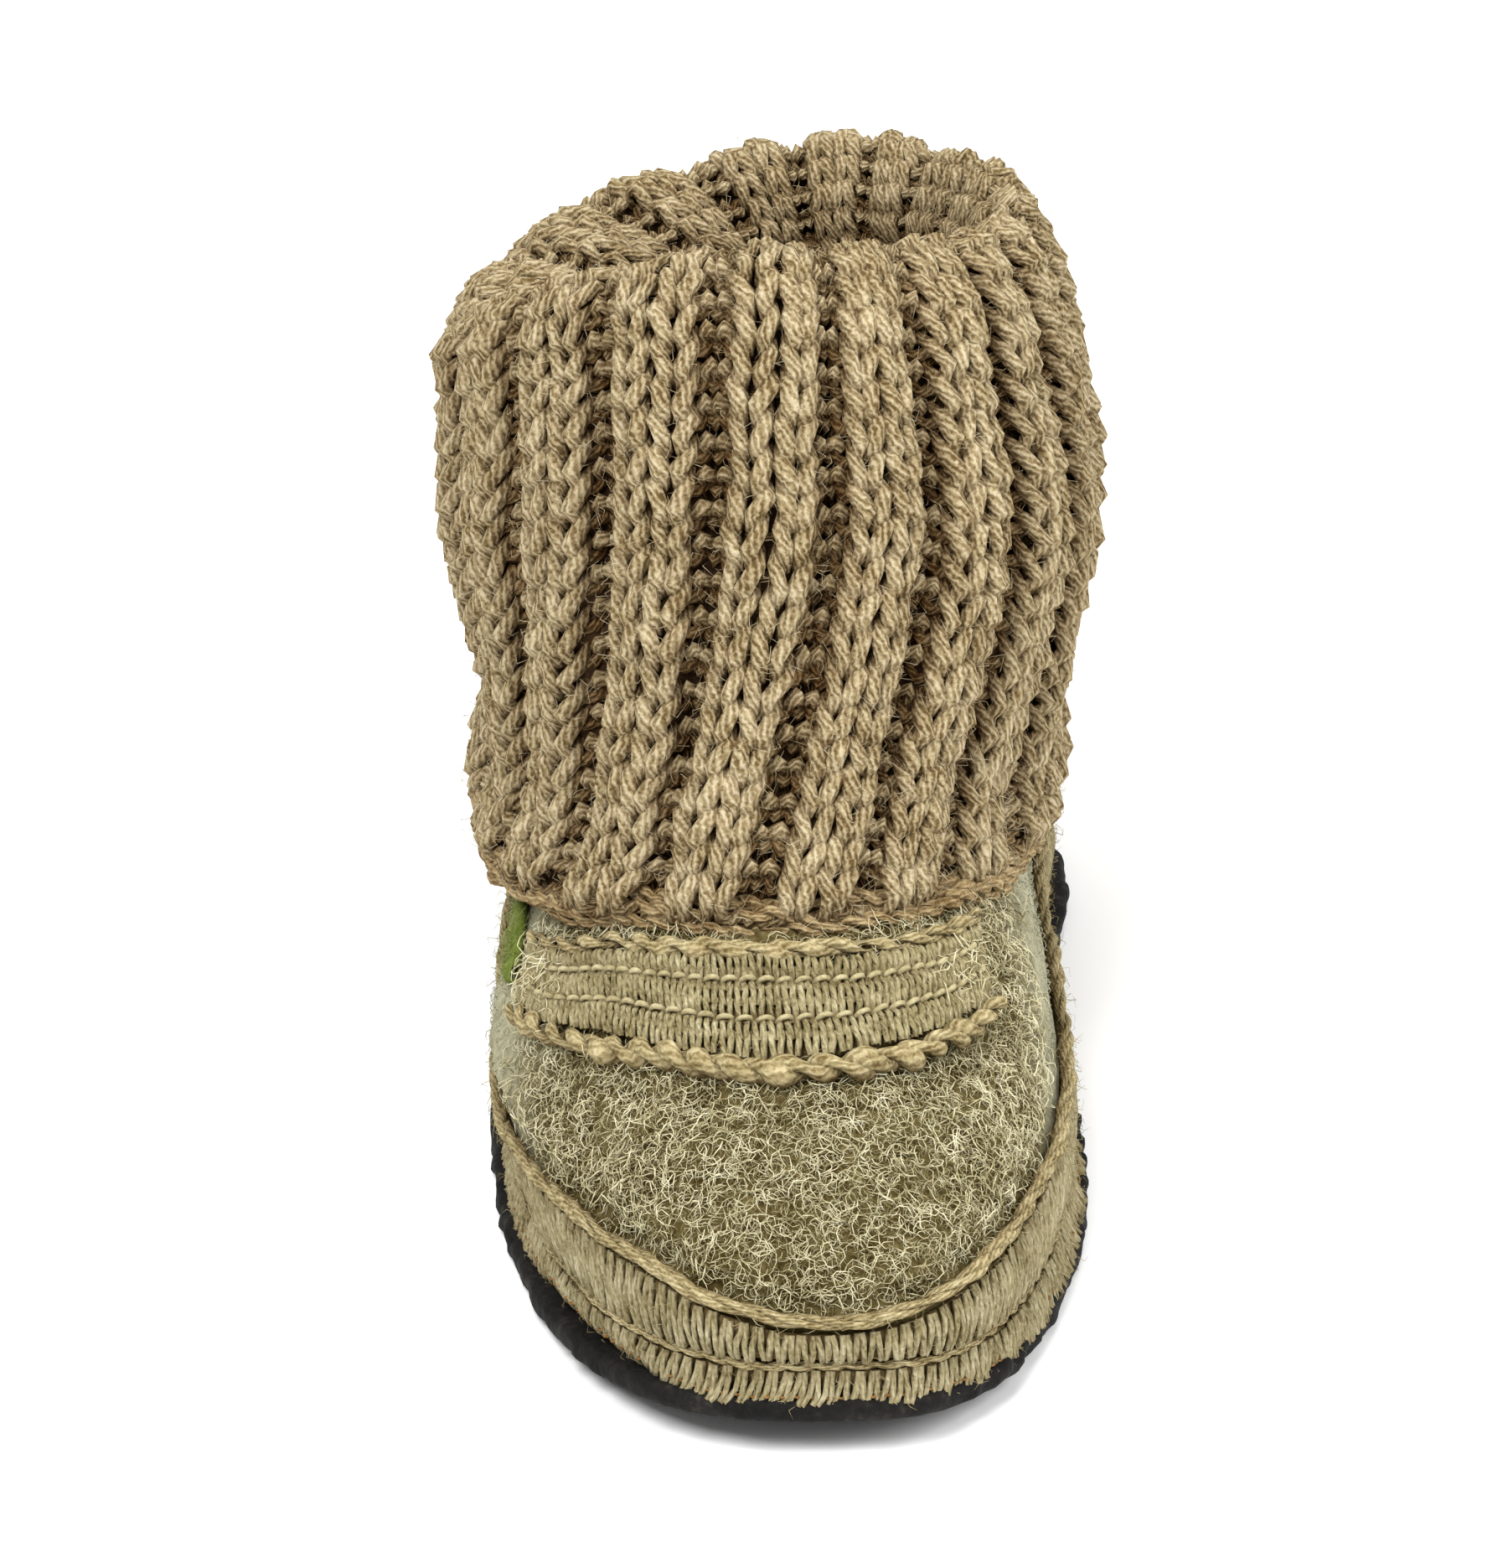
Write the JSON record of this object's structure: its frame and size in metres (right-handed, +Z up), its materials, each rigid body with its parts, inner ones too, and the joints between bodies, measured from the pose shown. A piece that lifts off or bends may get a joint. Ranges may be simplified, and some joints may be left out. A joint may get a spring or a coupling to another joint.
{
  "type": "wool slipper",
  "caption": "Ankle-high child's wool slipper for the right foot: felt upper, ribbed tape rand and instep strip, folded rib-knit cuff and a thin pebbled rubber sole.",
  "frame": {"origin": "middle of the bounding box on the floor under the sole", "axes": "+X to the inner (big-toe) side, +Y from the toe to the heel, +Z up"},
  "size_m": [0.0824, 0.18, 0.1185],
  "materials": {
    "sole_rubber": "matt, pebbled",
    "footbed_felt": "felted",
    "upper_felt": "boiled wool, curly nap",
    "rand_tape": "ribbed wool tape",
    "edge_yarn": "twisted yarn",
    "strip_tape": "ribbed wool tape",
    "cuff_knit": "bulky rib knit, fuzzy",
    "patch_felt": "felted"
  },
  "bodies": {
    "root": {"outsole": "sole_rubber", "insole": "footbed_felt", "upper": "upper_felt", "rand_lower": "rand_tape", "rand_upper": "rand_tape", "rand_cord": "edge_yarn", "rand_rope": "edge_yarn", "instep_strip": "strip_tape", "strip_edge_low": "edge_yarn", "strip_edge_high": "edge_yarn", "knit_cuff": "cuff_knit", "side_patch": "patch_felt"}
  },
  "joints": []
}
